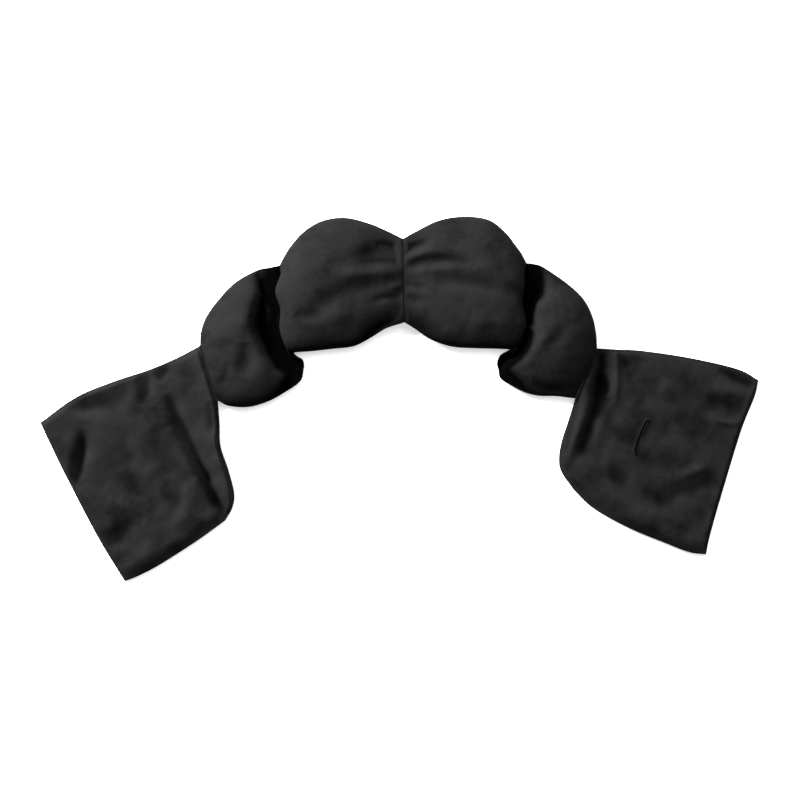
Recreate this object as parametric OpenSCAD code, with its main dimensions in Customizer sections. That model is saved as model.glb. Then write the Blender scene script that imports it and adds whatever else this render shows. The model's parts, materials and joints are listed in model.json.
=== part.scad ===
// Weighted eye pillow made as one long strap, lying flat with its front side up.
// Four pods filled with plastic beads sit between two flat end flaps, and each
// is joined to the next by a gathered cross seam, which is the cloth hinge that
// the strap folds on. A flap can be pulled through the slit in the other one.
// +X runs along the strap, +Z comes out of the front cover, and the origin is
// below the middle of the whole outline, on the table that the strap lies on.

/* [Cloth] */
// Thickness of one cover ply
ply = 1.2; // [0.8:0.1:1.4]
// Thickness of the thin bead liner
liner_ply = 0.4; // [0.3:0.1:0.5]

/* [Pods] */
// Height of an eye pod's crown above the table
eye_crown = 25; // [20:1:28]
// Height of a side pod's crown above the table
side_crown = 23; // [18:1:26]

/* [Cross seams] */
// Height of the centre seam above the table
centre_seam_z = 7; // [5:0.5:8]
// Height of the seams between eye pods and side pods
inner_seam_z = 6; // [4:0.5:8]
// Height of the seams between side pods and flaps
outer_seam_z = 1.6; // [1.6:0.1:2.4]
// Radius of the rolled and gathered seam allowance
roll_r = 1.2; // [0.8:0.1:1.3]
// Distance from one gather to the next
gather_pitch = 6; // [4:0.5:9]
// Distance from one stitch to the next
stitch_pitch = 3; // [2.5:0.5:5]

/* [Slit] */
// Length of the slit in the right flap
slit_l = 29; // [24:1:34]
// Open width of the slit
slit_w = 1.7; // [1.2:0.1:2.4]
// Width of the stitched binding round the slit
binding_w = 1.3; // [0.9:0.1:2]

/* [Hidden] */
SIDES = ["left", "right"];
PODS = ["left_side", "left_eye", "right_eye", "right_side"];
POD_PIECES = ["front_cover", "back_cover", "edge_seam", "bead_liner", "bead_fill"];
SEAMS = ["left_outer", "left_inner", "centre", "right_inner", "right_outer"];

// Clear space round each hinge axis that no pod or flap enters
hinge_gap = 2;
thread_r = 0.15;
thread_gap = 0.05;
// Cells of each pod's curved faces, along and across the strap
grid_u = 14;
grid_v = 10;
// How steeply the faces rise from the long edges: lower is blunter
edge_bluntness = 0.6;
// The back lies flat on the table from nearer its edge than the front is full
front_gain = 1;
back_gain = 1.8;
// Half the slack between the front and the back ply at a sewn edge
edge_slack = 0.28;
// Slack between the two plies of a flap
ply_slack = 0.3;
// Where the liner and the beads end, as parts of the pod's length and width
liner_in = [0.1, 0.08];
beads_in = [0.13, 0.11];
// Slack between the cover and the liner, and between the liner and the beads
liner_slack = 0.4;
beads_slack = 0.3;
// How bluntly the liner and the beads round off towards their own edges
lining_bluntness = 0.22;
// Sewing line along a pod's long edges: width, distance in, height, ends, parts
edge_thread_w = 0.5;
edge_thread_in = 0.4;
edge_thread_half = 0.1;
edge_thread_end = 0.03;
thread_steps = 24;
// Length of edge over which the sewing line's direction is taken
edge_probe = 0.01;
flap_seam_in = 3;
bartack_l = 2.2;

front_colour = "#2b2b2c";
back_colour = "#242425";
thread_colour = "#1c1c1d";
liner_colour = "#d9d6cf";
bead_colour = "#e6e8ea";

// Cross seams: bottom end, top end, height
seam_line = [
    [[-157.6, 0], [-172.3, 46.8], outer_seam_z],
    [[-95.3, 39], [-103.9, 116], inner_seam_z],
    [[3.9, 66.7], [2.6, 138.6], centre_seam_z],
    [[99.6, 43.3], [109.1, 117.8], inner_seam_z],
    [[151.6, 1.7], [169.7, 44.2], outer_seam_z]
];

// Long edges of the pods between their two seams, from -X to +X
pod_top = [
    [[-171.5, 58], [-167.5, 71], [-157, 86], [-142, 101.5], [-123.8, 111.7]],
    [[-95, 131], [-82, 145.5], [-62, 156], [-41, 156], [-20, 149]],
    [[22, 149.5], [42, 157], [63, 157.5], [84, 151], [98, 137]],
    [[124, 114.5], [143, 101.5], [157.5, 88], [165.5, 73], [168.5, 58]]
];
pod_bottom = [
    [[-140, -5.5], [-120, -3], [-104, 6], [-96.5, 18], [-96, 29]],
    [[-86, 41], [-74, 42.5], [-55, 44], [-34, 48.5], [-14, 59.5]],
    [[16, 59], [36, 47.5], [56, 44.5], [74, 44], [88, 43.8]],
    [[100.5, 32], [99.5, 21], [105.5, 11], [118, 4], [135, 3]]
];
// How bluntly each pod rises from its -X seam and from its +X seam
pod_blunt = [[2.2, 2.8], [7, 2.4], [2.4, 7], [2.8, 2.2]];

// Flap outlines: seam end to outer corner, outer end edge, far edge, inner edge
flap_sides = [
    [
        [[-176, 46.5], [-207, 29.4], [-248.5, 15.6], [-290, -2.6], [-310.5, -19.5]],
        [[-310.5, -19.5], [-288, -67.5], [-260.7, -119.5], [-238, -156.7]],
        [[-238, -156.7], [-207, -142], [-175.8, -122], [-150.5, -103]],
        [[-150.5, -103], [-144, -82], [-149, -59], [-156, -33], [-160.5, -1.5]]
    ],
    [
        [[173, 42.2], [208.7, 42.4], [250, 36.4], [291.8, 26.8], [309.6, 17.3]],
        [[309.6, 17.3], [295, -26], [280, -75], [268.5, -115], [264.5, -133.5]],
        [[264.5, -133.5], [229.5, -123.8], [198, -110.8], [167, -93.5], [147, -74]],
        [[147, -74], [138.2, -54], [138.6, -41.6], [144, -24], [154, 0]]
    ]
];
slit_centre = [208.2, -31.8];
slit_turn = 69;

function lerp(a, b, t) = a + (b - a) * t;

// Smooth curve through points: the part after point k, at t from 0 to 1
function curve_part(p, k, t) =
    let (a = p[max(k - 1, 0)], b = p[k], c = p[k + 1], d = p[min(k + 2, len(p) - 1)])
    (2 * b + (c - a) * t + (2 * a - 5 * b + 4 * c - d) * t * t
        + (3 * b - a - 3 * c + d) * t * t * t) / 2;

// The whole curve, at s from 0 to 1
function curve(p, s) =
    let (n = len(p) - 1, k = min(floor(s * n), n - 1))
    curve_part(p, k, s * n - k);

// Steps from 0 to 1 that are closer together at both ends
function eased(n) = [for (i = [0:n]) (1 - cos(180 * i / n)) / 2];

// A seam's line moved sideways towards +X
function moved_end(s, end, by) =
    let (d = s[1] - s[0], side = [d.y, -d.x] / norm(d))
    s[end] + side * by;

function pod_edge(i, list, end) = concat(
    [moved_end(seam_line[i], end, hinge_gap)],
    list[i],
    [moved_end(seam_line[i + 1], end, -hinge_gap)]
);

// One pod: top edge, bottom edge, seam heights, bluntness, height of its crown
function pod(i) = [
    pod_edge(i, pod_top, 1),
    pod_edge(i, pod_bottom, 0),
    [seam_line[i][2], seam_line[i + 1][2]],
    pod_blunt[i],
    (i == 1 || i == 2) ? eye_crown : side_crown
];

function rise(t, blunt) = 1 - pow(1 - t, blunt);
function swell(u, blunt) = rise(u, blunt[0]) * rise(1 - u, blunt[1]);
function swell_peak(blunt) = max([for (i = [1:19]) swell(i / 20, blunt)]);

// Fullness from 0 at the sewn edges to 1 at the crown
function fullness(p, u, v) =
    swell(u, p[3]) / swell_peak(p[3]) * pow(max(sin(180 * v), 0), edge_bluntness);

function seam_height(p, u) = lerp(p[2][0], p[2][1], u);

// Height of a cover's face: rim is its height above the seam at the sewn edge,
// goal its height above the table where the pod is full
function face_height(p, u, v, rim, goal, up) =
    lerp(
        seam_height(p, u) + rim,
        goal,
        min(1, (up ? front_gain : back_gain) * fullness(p, u, v))
    );

// Point in plan, at u from one seam to the other and v from bottom to top edge
function plan_point(p, u, v) = lerp(curve(p[1], u), curve(p[0], u), v);

// Points of one face of a cover, drawn in from the pod's outline
function cover_face(p, inset, rim, goal, up) = [
    for (s = eased(grid_u)) for (t = eased(grid_v))
        let (
            end = inset / norm(curve(p[0], 0) - curve(p[0], 1)),
            u = lerp(end, 1 - end, s),
            edge = inset / norm(curve(p[0], u) - curve(p[1], u)),
            flat = plan_point(p, u, lerp(edge, 1 - edge, t))
        )
        [flat.x, flat.y, face_height(p, u, t, rim, goal, up)]
];

// Inside height of a cover
function room(p, u, v, up) =
    up ? face_height(p, u, v, edge_slack, p[4] - ply, true)
        : face_height(p, u, v, -edge_slack, ply, false);

// Points of one face of something inside a pod: margins is how far it ends from
// the pod's outline, depth its distance from the cover, and half_rim half its
// thickness at its own edge
function lining_face(p, margins, depth, half_rim, up) = [
    for (s = eased(grid_u)) for (t = eased(grid_v))
        let (
            u = lerp(margins[0], 1 - margins[0], s),
            v = lerp(margins[1], 1 - margins[1], t),
            way = up ? 1 : -1,
            flat = plan_point(p, u, v),
            middle = (room(p, u, v, true) + room(p, u, v, false)) / 2,
            closing = pow(max(sin(180 * s) * sin(180 * t), 0), lining_bluntness)
        )
        [flat.x, flat.y, lerp(middle + way * half_rim, room(p, u, v, up) - way * depth, closing)]
];

// Triangles of a grid of points whose outside is above it, or below it
function grid_faces(first, up) = [
    for (i = [0:grid_u - 1]) for (j = [0:grid_v - 1])
        let (a = first + i * (grid_v + 1) + j, b = a + grid_v + 1, c = b + 1, d = a + 1)
        each up ? [[a, d, c], [a, c, b]] : [[a, c, d], [a, b, c]]
];

// The grid's border as one counter-clockwise loop of point numbers
function border() = let (row = grid_v + 1) [
    for (i = [0:grid_u - 1]) i * row,
    for (j = [0:grid_v - 1]) grid_u * row + j,
    for (i = [grid_u:-1:1]) i * row + grid_v,
    for (j = [grid_v:-1:1]) j
];

function border_faces(count, up) =
    let (loop = border(), n = len(loop))
    [
        for (k = [0:n - 1])
            let (a = loop[k], b = loop[(k + 1) % n], c = b + count, d = a + count)
            each up ? [[a, b, c], [a, c, d]] : [[a, c, b], [a, d, c]]
    ];

// Solid between an outer face and an inner one
module layer(outer, inner, up) {
    count = len(outer);
    polyhedron(
        points = concat(outer, inner),
        faces = concat(grid_faces(0, up), grid_faces(count, !up), border_faces(count, up))
    );
}

module cover_half(p, up) {
    way = up ? 1 : -1;
    top = up ? p[4] : 0;
    layer(
        cover_face(p, 0, way * (edge_slack + ply), top, up),
        cover_face(p, ply, way * edge_slack, top - way * ply, up),
        up
    );
}

module liner_half(p, up) {
    layer(
        lining_face(p, liner_in, liner_slack, thread_gap + liner_ply, up),
        lining_face(p, liner_in, liner_slack + liner_ply, thread_gap, up),
        up
    );
}

module bead_lump(p) {
    depth = liner_slack + liner_ply + beads_slack;
    layer(
        lining_face(p, beads_in, depth, thread_gap, true),
        lining_face(p, beads_in, depth, thread_gap, false),
        true
    );
}

// Corners of the line of sewing between the two covers along one long edge
function thread_points(p, side) = [
    for (i = [0:thread_steps])
        let (
            u = lerp(edge_thread_end, 1 - edge_thread_end, i / thread_steps),
            edge = curve(p[side], u),
            along = curve(p[side], u + edge_probe) - curve(p[side], u - edge_probe),
            inward = (side == 0 ? 1 : -1) * [along.y, -along.x],
            unit = inward / norm(inward),
            near = edge + unit * edge_thread_in,
            far = near + unit * edge_thread_w,
            z = seam_height(p, u)
        )
        each [
            [near.x, near.y, z - edge_thread_half],
            [far.x, far.y, z - edge_thread_half],
            [far.x, far.y, z + edge_thread_half],
            [near.x, near.y, z + edge_thread_half]
        ]
];

function turned(face, turn) = turn ? [face[0], face[2], face[1]] : face;

// Triangles of that square tube and of its two ends
function thread_faces(first, turn) =
    let (last = first + 4 * thread_steps)
    [
        for (i = [0:thread_steps - 1]) for (k = [0:3])
            let (a = first + 4 * i + k, b = first + 4 * i + (k + 1) % 4, c = b + 4, d = a + 4)
            each [turned([a, b, c], turn), turned([a, c, d], turn)],
        for (k = [1:2]) turned([first, first + k + 1, first + k], turn),
        for (k = [1:2]) turned([last, last + k, last + k + 1], turn)
    ];

module edge_threads(p) {
    top = thread_points(p, 0);
    bottom = thread_points(p, 1);
    polyhedron(
        points = concat(top, bottom),
        faces = concat(thread_faces(0, false), thread_faces(len(top), true))
    );
}

// Puts a shape that stands on its Z axis along a cross seam
module along_seam(i) {
    s = seam_line[i];
    d = s[1] - s[0];
    translate([s[0].x, s[0].y, s[2]])
        rotate([0, 90, atan2(d.y, d.x)])
            children();
}

function seam_length(i) = norm(seam_line[i][1] - seam_line[i][0]);

// Seam allowance, rolled and drawn up into round gathers
module seam_roll(i) {
    long = seam_length(i);
    gathers = round(long / gather_pitch);
    steps = 6 * gathers;
    color(front_colour)
        along_seam(i)
            rotate_extrude()
                polygon(concat(
                    [[0, 0]],
                    [
                        for (k = [0:steps])
                            [roll_r * (0.8 + 0.2 * abs(sin(180 * k / 6))), long * k / steps]
                    ],
                    [[0, long]]
                ));
}

// Overlock thread that wraps the seam allowance, one ring for each stitch
module seam_stitches(i) {
    long = seam_length(i);
    count = floor(long / stitch_pitch) - 1;
    color(thread_colour)
        along_seam(i)
            for (k = [1:count])
                translate([0, 0, long * k / (count + 1)])
                    rotate_extrude()
                        translate([roll_r + thread_gap + thread_r, 0])
                            circle(r = thread_r, $fn = 24);
}

module pod_piece(i, piece) {
    p = pod(i);
    if (piece == "front_cover")
        color(front_colour) cover_half(p, true);
    if (piece == "back_cover")
        color(back_colour) cover_half(p, false);
    if (piece == "edge_seam")
        color(thread_colour) edge_threads(p);
    if (piece == "bead_liner")
        color(liner_colour) {
            liner_half(p, true);
            liner_half(p, false);
        }
    if (piece == "bead_fill")
        color(bead_colour) bead_lump(p);
}

// Flat outline of a flap: four smooth sides that meet at corners
module flap_outline(i) {
    polygon([
        for (side = flap_sides[i]) for (k = [0:11]) curve(side, k / 12)
    ]);
}

module slot(long, wide) {
    square([long - wide, wide], center = true);
    for (end = [-1, 1])
        translate([end * (long - wide) / 2, 0])
            circle(d = wide, $fn = 32);
}

module at_slit() {
    translate(slit_centre)
        rotate(slit_turn)
            children();
}

module flap_ply(i, z) {
    translate([0, 0, z])
        linear_extrude(ply)
            difference() {
                flap_outline(i);
                if (i == 1)
                    at_slit()
                        slot(slit_l + 2 * binding_w, slit_w + 2 * binding_w);
            }
}

module flap_front_ply(i) {
    color(front_colour) flap_ply(i, ply + ply_slack);
}

module flap_back_ply(i) {
    color(back_colour) flap_ply(i, 0);
}

// Sewing line that holds a flap's two plies together, between them
module flap_edge_seam(i) {
    color(thread_colour)
        translate([0, 0, ply + thread_gap])
            linear_extrude(ply_slack - 2 * thread_gap)
                difference() {
                    offset(delta = -flap_seam_in) flap_outline(i);
                    offset(delta = -flap_seam_in - edge_thread_w) flap_outline(i);
                }
}

// Satin-stitched edge that lines the slit through both plies
module slit_binding() {
    color(thread_colour)
        linear_extrude(2 * ply + ply_slack)
            at_slit()
                difference() {
                    slot(
                        slit_l + 2 * (binding_w - thread_gap),
                        slit_w + 2 * (binding_w - thread_gap)
                    );
                    slot(slit_l, slit_w);
                }
}

// Thread bars across both ends of the slit, on top of the binding
module slit_bartacks() {
    top = 2 * ply + ply_slack;
    color(thread_colour)
        at_slit()
            for (end = [-1, 1])
                translate([end * (slit_l / 2 + binding_w / 2), 0, top + thread_gap])
                    linear_extrude(2 * thread_r)
                        square([binding_w / 2, bartack_l], center = true);
}

// Pods
for (i = [0:3])
    for (piece = POD_PIECES)
        pod_piece(i, piece);

// Cross seams
for (i = [0:4]) {
    seam_roll(i);
    seam_stitches(i);
}

// Flaps
for (i = [0:1]) {
    flap_front_ply(i);
    flap_back_ply(i);
    flap_edge_seam(i);
}
slit_binding();
slit_bartacks();
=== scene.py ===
"""Weighted eye pillow: its stuffed pods, flaps, seams and cloth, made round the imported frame."""

import json
import math

import bpy
import numpy as np
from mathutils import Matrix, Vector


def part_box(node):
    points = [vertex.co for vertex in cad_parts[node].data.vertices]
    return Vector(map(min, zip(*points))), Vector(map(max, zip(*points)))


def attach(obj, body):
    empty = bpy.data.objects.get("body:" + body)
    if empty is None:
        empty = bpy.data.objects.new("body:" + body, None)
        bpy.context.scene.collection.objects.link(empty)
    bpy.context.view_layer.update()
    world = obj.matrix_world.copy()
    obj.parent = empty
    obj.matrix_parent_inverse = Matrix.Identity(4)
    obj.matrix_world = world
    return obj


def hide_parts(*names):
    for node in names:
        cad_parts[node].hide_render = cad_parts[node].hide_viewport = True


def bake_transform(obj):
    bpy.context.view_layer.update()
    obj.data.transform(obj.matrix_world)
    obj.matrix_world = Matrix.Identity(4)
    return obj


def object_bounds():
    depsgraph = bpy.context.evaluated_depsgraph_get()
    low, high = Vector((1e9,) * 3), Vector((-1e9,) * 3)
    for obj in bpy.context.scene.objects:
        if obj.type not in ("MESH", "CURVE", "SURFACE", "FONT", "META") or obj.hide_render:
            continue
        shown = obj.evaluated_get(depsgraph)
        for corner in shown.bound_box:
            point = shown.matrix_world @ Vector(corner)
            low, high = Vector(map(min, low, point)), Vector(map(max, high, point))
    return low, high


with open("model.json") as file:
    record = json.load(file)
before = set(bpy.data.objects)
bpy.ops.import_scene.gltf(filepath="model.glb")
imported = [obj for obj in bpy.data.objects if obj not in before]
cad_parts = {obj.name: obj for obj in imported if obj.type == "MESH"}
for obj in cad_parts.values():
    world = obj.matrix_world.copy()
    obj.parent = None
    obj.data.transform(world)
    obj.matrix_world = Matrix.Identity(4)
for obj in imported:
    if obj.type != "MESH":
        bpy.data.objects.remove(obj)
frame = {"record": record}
cad_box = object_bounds()

MM = 0.001

# ---------------------------------------------------------------- sizes, in millimetres
PLY = 1.2              # thickness of one cover ply
CROWN = {"left_side": 24.0, "left_eye": 26.0, "right_eye": 26.0, "right_side": 24.0}
POD_STEPS = (44, 40)   # cells of the simulated grid, along and across the strap
FLAP_STEPS = (104, 104)
CAP = 9.0              # how far the simulation may move a point
SLIT_LONG = 29.0
SLIT_WIDE = 1.7
SLIT_BOW = 1.1         # how far its middle stands off the line between its ends

# Long edges of the pods between their seams, from -X to +X
POD_TOP = {
    "left_side": [(-171.8, 58), (-167.5, 71), (-157, 86), (-142, 101.5), (-123.8, 111.7), (-112, 114.4)],
    "left_eye": [(-100.5, 123), (-95, 131.6), (-84, 144.2), (-68, 154), (-48, 157), (-27, 152.2), (-10, 145)],
    "right_eye": [(14, 145.2), (34, 154.7), (56, 158), (77, 155), (91, 144.2), (99, 134), (104.6, 126.4)],
    "right_side": [(116.5, 117.2), (124, 114.5), (143, 101.5), (157.5, 88), (165.5, 73), (169, 58)],
}
POD_BOTTOM = {
    "left_side": [(-148, -5), (-132, -6.2), (-116, -2.2), (-102, 5), (-92, 14), (-90.5, 26), (-92, 34)],
    "left_eye": [(-90, 41), (-76, 42), (-58, 44), (-40, 46.2), (-26, 53), (-12, 61.5)],
    "right_eye": [(13, 61), (27, 51.8), (44, 46), (62, 44.6), (80, 44.2), (91, 43.8)],
    "right_side": [(95, 37), (93, 28), (94.5, 17), (104, 8.2), (118, 3.8), (134, 3.3), (144, 2.2)],
}
# How bluntly each pod rises from its -X seam and from its +X seam
BLUNT = {
    "left_side": (3.0, 2.4), "left_eye": (10, 2.8), "right_eye": (2.8, 10), "right_side": (2.6, 3.0)
}
SEAMS_OF = {
    "left_side": ("left_outer", "left_inner"),
    "left_eye": ("left_inner", "centre"),
    "right_eye": ("centre", "right_inner"),
    "right_side": ("right_inner", "right_outer"),
}
# Flap outlines, in order: upper edge, end edge, lower edge, inner edge back to the seam
FLAP_SIDES = {
    "left": (
        [(-172.3, 46.8), (-192, 36.6), (-217, 26), (-248.5, 15.6), (-280, 2.4), (-310.9, -19.5)],
        [(-310.9, -19.5), (-304.8, -33), (-288, -67.5), (-260.7, -119.5), (-238, -156.7)],
        [(-238, -156.7), (-226, -152), (-207, -142), (-175.8, -122), (-151.5, -104.5)],
        [(-151.5, -104.5), (-145, -93), (-143.6, -80), (-149, -59), (-155.2, -40),
         (-156.2, -20), (-157.6, 0)],
    ),
    "right": (
        [(169.7, 44.2), (188, 43.4), (208.7, 42.4), (250, 36.4), (291.8, 26.8), (309.8, 17.3)],
        [(309.8, 17.3), (306.5, 3), (295, -26), (280, -75), (268.5, -115), (264.5, -133.5)],
        [(264.5, -133.5), (250, -131.6), (229.5, -123.8), (198, -110.8), (167, -93.5), (150, -77.5)],
        [(150, -77.5), (139.5, -62), (137.6, -50), (139.8, -36), (145, -20), (149.4, -6), (151.6, 1.7)],
    ),
}
SLIT_MIDDLE = (208.2, -31.8)
SLIT_TURN = math.radians(69)   # from +X to the slit's length

POD_SHADE_DEPTH = 6.2       # depth of a crease at which its painted shade is darkest
FLAP_SHADE_DEPTH = 3.2
CREASE_BLUR = 60       # rounds of averaging that turn a surface into its general shape, to find creases and ridges for painted shade and highlight


# ---------------------------------------------------------------- curves and grids
def smooth_curve(points, count):
    """count points, evenly spaced along the smooth curve through the given ones."""
    steps_between = 24
    p = np.array(points, float)
    p = np.vstack([2 * p[0] - p[1], p, 2 * p[-1] - p[-2]])
    fine = []
    for k in range(1, len(p) - 2):
        for t in np.linspace(0, 1, steps_between, endpoint=False):
            a, b, c, d = p[k - 1:k + 3]
            fine.append(
                (2 * b + (c - a) * t + (2 * a - 5 * b + 4 * c - d) * t * t
                 + (3 * b - a - 3 * c + d) * t ** 3) / 2
            )
    fine = np.array(fine + [p[-2]])
    run = np.concatenate([[0], np.cumsum(np.linalg.norm(np.diff(fine, axis=0), axis=1))])
    even = np.linspace(0, run[-1], count)
    return np.stack([np.interp(even, run, fine[:, i]) for i in range(fine.shape[1])], axis=1)


def seam_ends(name):
    """Lower and upper end of a cross seam, in millimetres, from its joint and its CAD roll."""
    joint = next(j for j in frame["record"]["behaviour"]["joints"] if j["name"] == name + "_fold")
    low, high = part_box(name + "_seam_roll")
    axis = np.array(joint["axis"], float)
    half = (high[1] - low[1]) / axis[1] / 2
    middle = np.array(joint["pos_m"], float)
    return (middle - axis * half) / MM, (middle + axis * half) / MM


SEAM = {name: seam_ends(name) for name in
        ("left_outer", "left_inner", "centre", "right_inner", "right_outer")}
# The full pods lift their seams off the table, higher than the joints' lines
SEAM_LIFT = {"left_outer": 6.0, "centre": 5.0, "right_outer": 6.0}
for lifted, lift in SEAM_LIFT.items():
    for seam_end in SEAM[lifted]:
        seam_end[2] += lift


def coons(bottom, top, left, right):
    """Grid of points spanned by four border curves."""
    nu, nv = len(bottom), len(left)
    u = np.linspace(0, 1, nu)[:, None, None]
    v = np.linspace(0, 1, nv)[None, :, None]
    ruled = (1 - v) * bottom[:, None] + v * top[:, None] + (1 - u) * left[None] + u * right[None]
    corners = ((1 - u) * (1 - v) * bottom[0] + u * (1 - v) * bottom[-1]
               + (1 - u) * v * top[0] + u * v * top[-1])
    return ruled - corners


def denser(grid):
    """The same grid with a point added between each two, along both ways, on smooth curves."""
    for axis in (0, 1):
        g = np.moveaxis(grid, axis, 0)
        wide = np.concatenate([2 * g[:1] - g[1:2], g, 2 * g[-1:] - g[-2:-1]])
        middle = (9 * (wide[1:-2] + wide[2:-1]) - wide[:-3] - wide[3:]) / 16
        out = np.empty((2 * len(g) - 1,) + g.shape[1:])
        out[0::2] = g
        out[1::2] = middle
        grid = np.moveaxis(out, 0, axis)
    return grid


def normals_of(grid):
    """Unit normals of a grid of points, on its upper side."""
    du = np.gradient(grid, axis=0)
    dv = np.gradient(grid, axis=1)
    n = np.cross(du, dv)
    return n / np.maximum(np.linalg.norm(n, axis=2, keepdims=True), 1e-9)


# ---------------------------------------------------------------- meshes
def grid_quads(nu, nv, first, up):
    """Faces of a grid whose points are numbered from first, facing up or down."""
    a = first + (np.arange(nu - 1)[:, None] * nv + np.arange(nv - 1)[None]).ravel()
    quads = np.stack([a, a + nv, a + nv + 1, a + 1], axis=1)
    return quads if up else quads[:, ::-1]


def border_of(nu, nv):
    """Numbers of a grid's border points, counter-clockwise."""
    return np.concatenate([
        np.arange(nu - 1) * nv,
        (nu - 1) * nv + np.arange(nv - 1),
        np.arange(nu - 1, 0, -1) * nv + nv - 1,
        np.arange(nv - 1, 0, -1),
    ])


def new_object(name, points, faces):
    """Smooth-shaded mesh of points in millimetres."""
    mesh = bpy.data.meshes.new(name)
    mesh.from_pydata((np.asarray(points) * MM).tolist(), [], [list(map(int, f)) for f in faces])
    mesh.update()
    mesh.shade_smooth()
    piece = bpy.data.objects.new(name, mesh)
    bpy.context.collection.objects.link(piece)
    return piece


def soften(field, times):
    """A grid of numbers averaged with its neighbours, over and over."""
    for _ in range(times):
        wide = np.pad(field, 1, mode="edge")
        field = (wide[:-2, 1:-1] + wide[2:, 1:-1] + wide[1:-1, :-2] + wide[1:-1, 2:]) / 4
    return field


def paint_fold_light_and_shade(piece, grid, deep, open_edges, extra=0.0):
    """Notes painted shade where a point lies in a crease, above 0.5, and a painted highlight where it lies on
    a ridge, below 0.5.

    deep is the depth at which the painted crease shade is darkest. A sewn edge gets no painted
    crease shade: open_edges gives the sides of the grid where that counts, and how far from them. extra, more
    painted shade, is added.
    """
    z = grid[..., 2]
    hollow = (soften(z, CREASE_BLUR) - z) / deep
    for side, reach in open_edges.items():
        line = {"top": grid[:, -1], "left": grid[0], "right": grid[-1]}[side]
        d, _ = path_distance(grid, line[::4, :2])
        hollow = hollow * np.clip(d / reach, 0, 1)
    value = np.clip(0.5 + 0.5 * hollow + extra, 0, 1).ravel()
    count = len(piece.data.vertices)
    values = np.full(count, 0.5)
    values[:len(value)] = value
    painted_shading = piece.data.attributes.new("painted_light_and_shade", "FLOAT", "POINT")
    painted_shading.data.foreach_set("value", values)


def shell(name, outer, inner, up):
    """Closed piece between two grids of the same size; outer is above inner if up."""
    nu, nv = outer.shape[:2]
    count = nu * nv
    loop = border_of(nu, nv)
    following = np.roll(loop, -1)
    rim = np.stack([loop, loop + count, following + count, following], axis=1)
    faces = np.vstack([
        grid_quads(nu, nv, 0, up),
        grid_quads(nu, nv, count, not up),
        rim if up else rim[:, ::-1],
    ])
    piece = new_object(name, np.vstack([outer.reshape(-1, 3), inner.reshape(-1, 3)]), faces)
    # A flat-shaded rim keeps the sewn edge crisp
    smooth = np.arange(len(faces)) < len(faces) - len(rim)
    piece.data.polygons.foreach_set("use_smooth", smooth)
    return piece


def tube(path, radii, sides=6):
    """Points and faces of a closed round tube along a path, with a radius at each of its points."""
    path = np.asarray(path, float)
    along = np.gradient(path, axis=0)
    along /= np.linalg.norm(along, axis=1, keepdims=True)
    side = np.cross(along, [0, 0, 1.0])
    side /= np.linalg.norm(side, axis=1, keepdims=True)
    up = np.cross(side, along)
    turn = np.linspace(0, 2 * math.pi, sides, endpoint=False)
    rings = path[:, None] + np.asarray(radii)[:, None, None] * (
        np.cos(turn)[None, :, None] * side[:, None] + np.sin(turn)[None, :, None] * up[:, None])
    faces = []
    for i in range(len(path) - 1):
        for k in range(sides):
            a, b = i * sides + k, i * sides + (k + 1) % sides
            faces.append((a, b, b + sides, a + sides))
    faces.append(tuple(range(sides))[::-1])
    last = (len(path) - 1) * sides
    faces.append(tuple(last + k for k in range(sides)))
    return rings.reshape(-1, 3), faces


def joined(name, parts):
    """One object of several closed bodies."""
    points, faces, first = [], [], 0
    for p, f in parts:
        points.append(p)
        faces += [tuple(int(i) + first for i in face) for face in f]
        first += len(p)
    return new_object(name, np.vstack(points), faces)


# ---------------------------------------------------------------- sculpting
def path_distance(points, path):
    """Distance in plan from each point to a path, and how far along the path it is, from 0 to 1."""
    p = points[..., :2]
    path = np.array(path, float)
    lengths = np.linalg.norm(np.diff(path, axis=0), axis=1)
    total = lengths.sum()
    best = np.full(p.shape[:-1], 1e9)
    where = np.zeros(p.shape[:-1])
    start = 0.0
    for a, b, length in zip(path[:-1], path[1:], lengths):
        t = np.clip(((p - a) @ (b - a)) / length ** 2, 0, 1)
        d = np.linalg.norm(p - (a + t[..., None] * (b - a)), axis=-1)
        closer = d < best
        best = np.where(closer, d, best)
        where = np.where(closer, (start + t * length) / total, where)
        start += length
    return best, where


FOLD_ENDS = 0.5        # power of the sine along a fold: lower keeps it high nearer to its ends


def fold(grid, free, path, width, height):
    """Raises a ridge along a path, or presses a crease where height is below zero."""
    path = smooth_curve(path, 12)
    d, t = path_distance(grid, path)
    taper = np.power(np.clip(np.sin(math.pi * np.clip(t, 0.02, 0.98)), 0, 1), FOLD_ENDS)
    out = grid.copy()
    out[..., 2] += height * np.exp(-(d / width) ** 2) * taper * free
    return out


def grab(grid, free, place, push, radius):
    """Drags the cloth round a place, as a hand would."""
    d = np.linalg.norm(grid[..., :len(place)] - np.array(place, float), axis=-1)
    return grid + np.exp(-(d / radius) ** 2)[..., None] * free[..., None] * np.array(push, float)


def ripple(grid, seed, size, height, free):
    """Soft irregular waves of about the given size."""
    rng = np.random.default_rng(seed)
    x, y = grid[..., 0], grid[..., 1]
    z = np.zeros_like(x)
    for _ in range(9):
        angle = rng.uniform(0, math.pi)
        wave = size * rng.uniform(0.7, 1.6)
        bend = rng.uniform(0, 2 * math.pi)
        z += np.sin(2 * math.pi * (x * math.cos(angle) + y * math.sin(angle)) / wave + bend
                    + 1.3 * np.sin(2 * math.pi * (y * math.cos(angle) - x * math.sin(angle))
                                   / (wave * 1.9) + bend * 1.7))
    out = grid.copy()
    out[..., 2] += height * z / 3 * free
    return out


# ---------------------------------------------------------------- pods
EDGE_ROUNDNESS = 0.52  # power of the sine across a pod: lower is blunter
UNDERSIDE = 0.2        # height of an empty pod's underside
UNDERSIDE_STEEP = 2.2  # how much sooner than the front the underside gets to its full depth


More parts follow.
